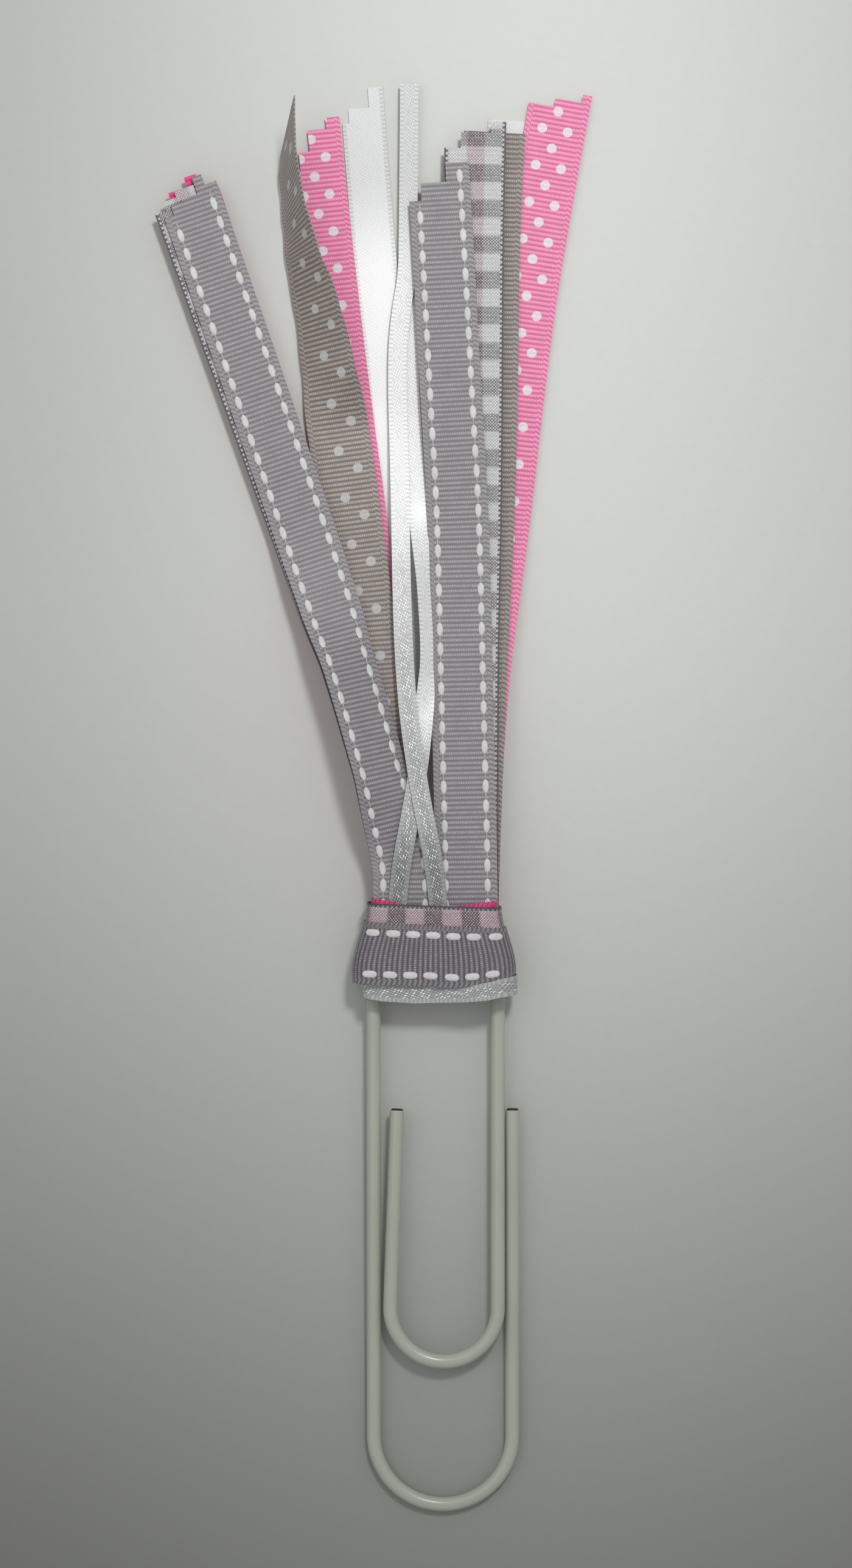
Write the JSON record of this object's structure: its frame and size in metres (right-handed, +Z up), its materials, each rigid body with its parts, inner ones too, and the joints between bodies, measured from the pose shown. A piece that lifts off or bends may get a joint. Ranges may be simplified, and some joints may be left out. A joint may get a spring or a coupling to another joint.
{
  "type": "ribbon bookmark clip",
  "caption": "Jumbo coated paper clip bookmark with a tassel of ribbons hitched on its top bend; the inner loop flexes open to grip a page and the tails lift and fan.",
  "frame": {"origin": "where the edge of a held page stops: on the clip's middle, in the plane of its wire, at the lower edge of the ribbon hitch", "axes": "+Y from the clip towards the ribbon ends, +Z up out of the face as it lies, X across the clip"},
  "size_m": [0.071, 0.2329, 0.0106],
  "materials": {
    "steel_core": "satin",
    "white_coating": "satin",
    "grey_grosgrain": "matte",
    "gingham_weave": "satin",
    "deep_pink_weave": "matte",
    "taupe_grosgrain": "matte",
    "pink_grosgrain": "matte",
    "white_satin": "gloss"
  },
  "bodies": {
    "clip": {"frame_core": "steel_core", "frame_coating": "white_coating", "grey_bight": "grey_grosgrain", "grey_neck_left": "grey_grosgrain", "grey_neck_right": "grey_grosgrain", "gingham_bight": "gingham_weave", "gingham_neck_left": "gingham_weave", "gingham_neck_right": "gingham_weave", "deep_pink_bight": "deep_pink_weave", "deep_pink_neck_left": "deep_pink_weave", "deep_pink_neck_right": "deep_pink_weave", "taupe_bight": "taupe_grosgrain", "taupe_neck_left": "taupe_grosgrain", "taupe_neck_right": "taupe_grosgrain", "pink_bight": "pink_grosgrain", "pink_neck_left": "pink_grosgrain", "pink_neck_right": "pink_grosgrain", "satin_bight": "white_satin", "satin_neck_left": "white_satin", "satin_neck_right": "white_satin", "thin_satin_bight": "white_satin", "thin_satin_neck_left": "white_satin", "thin_satin_neck_right": "white_satin"},
    "clip_tongue": {"tongue_core": "steel_core", "tongue_coating": "white_coating"},
    "grey_left_tail": {"grey_tail_left": "grey_grosgrain"},
    "grey_right_tail": {"grey_tail_right": "grey_grosgrain"},
    "gingham_left_tail": {"gingham_tail_left": "gingham_weave"},
    "gingham_right_tail": {"gingham_tail_right": "gingham_weave"},
    "deep_pink_left_tail": {"deep_pink_tail_left": "deep_pink_weave"},
    "deep_pink_right_tail": {"deep_pink_tail_right": "deep_pink_weave"},
    "taupe_left_tail": {"taupe_tail_left": "taupe_grosgrain"},
    "taupe_right_tail": {"taupe_tail_right": "taupe_grosgrain"},
    "pink_left_tail": {"pink_tail_left": "pink_grosgrain"},
    "pink_right_tail": {"pink_tail_right": "pink_grosgrain"},
    "satin_left_tail": {"satin_tail_left": "white_satin"},
    "satin_right_tail": {"satin_tail_right": "white_satin"},
    "thin_satin_left_tail": {"thin_satin_tail_left": "white_satin"},
    "thin_satin_right_tail": {"thin_satin_tail_right": "white_satin"}
  },
  "joints": [
    {"name": "tongue_flex", "type": "hinge", "parent": "clip", "child": "clip_tongue", "pos_m": [0, -0.0015, -0.00003], "axis": [-1, 0, 0], "range_deg": [0, 10], "stiffness_Nm_per_rad": 0.5},
    {"name": "grey_left_lift", "type": "hinge", "parent": "clip", "child": "grey_left_tail", "pos_m": [0, 0.047, 0.00172], "axis": [1, 0, 0], "range_deg": [0, 50]},
    {"name": "grey_right_lift", "type": "hinge", "parent": "clip", "child": "grey_right_tail", "pos_m": [0, 0.047, 0.00172], "axis": [1, 0, 0], "range_deg": [0, 50]},
    {"name": "gingham_left_lift", "type": "hinge", "parent": "clip", "child": "gingham_left_tail", "pos_m": [0, 0.047, 0.00137], "axis": [1, 0, 0], "range_deg": [0, 41]},
    {"name": "gingham_right_lift", "type": "hinge", "parent": "clip", "child": "gingham_right_tail", "pos_m": [0, 0.047, 0.00137], "axis": [1, 0, 0], "range_deg": [0, 43.5]},
    {"name": "deep_pink_left_lift", "type": "hinge", "parent": "clip", "child": "deep_pink_left_tail", "pos_m": [0, 0.047, 0.00102], "axis": [1, 0, 0], "range_deg": [0, 31]},
    {"name": "deep_pink_right_lift", "type": "hinge", "parent": "clip", "child": "deep_pink_right_tail", "pos_m": [0, 0.047, 0.00102], "axis": [1, 0, 0], "range_deg": [0, 37]},
    {"name": "taupe_left_lift", "type": "hinge", "parent": "clip", "child": "taupe_left_tail", "pos_m": [0, 0.093, -0.00204], "axis": [1, 0, 0], "range_deg": [0, 45]},
    {"name": "taupe_right_lift", "type": "hinge", "parent": "clip", "child": "taupe_right_tail", "pos_m": [0, 0.047, 0.00067], "axis": [1, 0, 0], "range_deg": [0, 31]},
    {"name": "pink_left_lift", "type": "hinge", "parent": "clip", "child": "pink_left_tail", "pos_m": [0, 0.093, -0.00239], "axis": [1, 0, 0], "range_deg": [0, 23.5]},
    {"name": "pink_right_lift", "type": "hinge", "parent": "clip", "child": "pink_right_tail", "pos_m": [0, 0.047, 0.00032], "axis": [1, 0, 0], "range_deg": [0, 23.5]},
    {"name": "satin_left_lift", "type": "hinge", "parent": "clip", "child": "satin_left_tail", "pos_m": [0, 0.093, -0.00274], "axis": [1, 0, 0], "range_deg": [0, 26]},
    {"name": "satin_right_lift", "type": "hinge", "parent": "clip", "child": "satin_right_tail", "pos_m": [0, 0.047, -0.00003], "axis": [1, 0, 0], "range_deg": [0, 16]},
    {"name": "thin_satin_left_lift", "type": "hinge", "parent": "clip", "child": "thin_satin_left_tail", "pos_m": [0, 0.047, 0.00207], "axis": [1, 0, 0], "range_deg": [0, 43.5]},
    {"name": "thin_satin_right_lift", "type": "hinge", "parent": "clip", "child": "thin_satin_right_tail", "pos_m": [0, 0.047, 0.00242], "axis": [1, 0, 0], "range_deg": [0, 50]}
  ],
  "couplings": [
    {"joint": "gingham_left_lift", "follows": "grey_left_lift", "ratio": 0.8},
    {"joint": "deep_pink_left_lift", "follows": "grey_left_lift", "ratio": 0.6},
    {"joint": "pink_left_lift", "follows": "taupe_left_lift", "ratio": 0.5},
    {"joint": "thin_satin_left_lift", "follows": "thin_satin_right_lift", "ratio": 0.85},
    {"joint": "satin_left_lift", "follows": "thin_satin_right_lift", "ratio": 0.5},
    {"joint": "gingham_right_lift", "follows": "grey_right_lift", "ratio": 0.85},
    {"joint": "deep_pink_right_lift", "follows": "grey_right_lift", "ratio": 0.72},
    {"joint": "taupe_right_lift", "follows": "grey_right_lift", "ratio": 0.6},
    {"joint": "pink_right_lift", "follows": "grey_right_lift", "ratio": 0.45},
    {"joint": "satin_right_lift", "follows": "grey_right_lift", "ratio": 0.3}
  ]
}
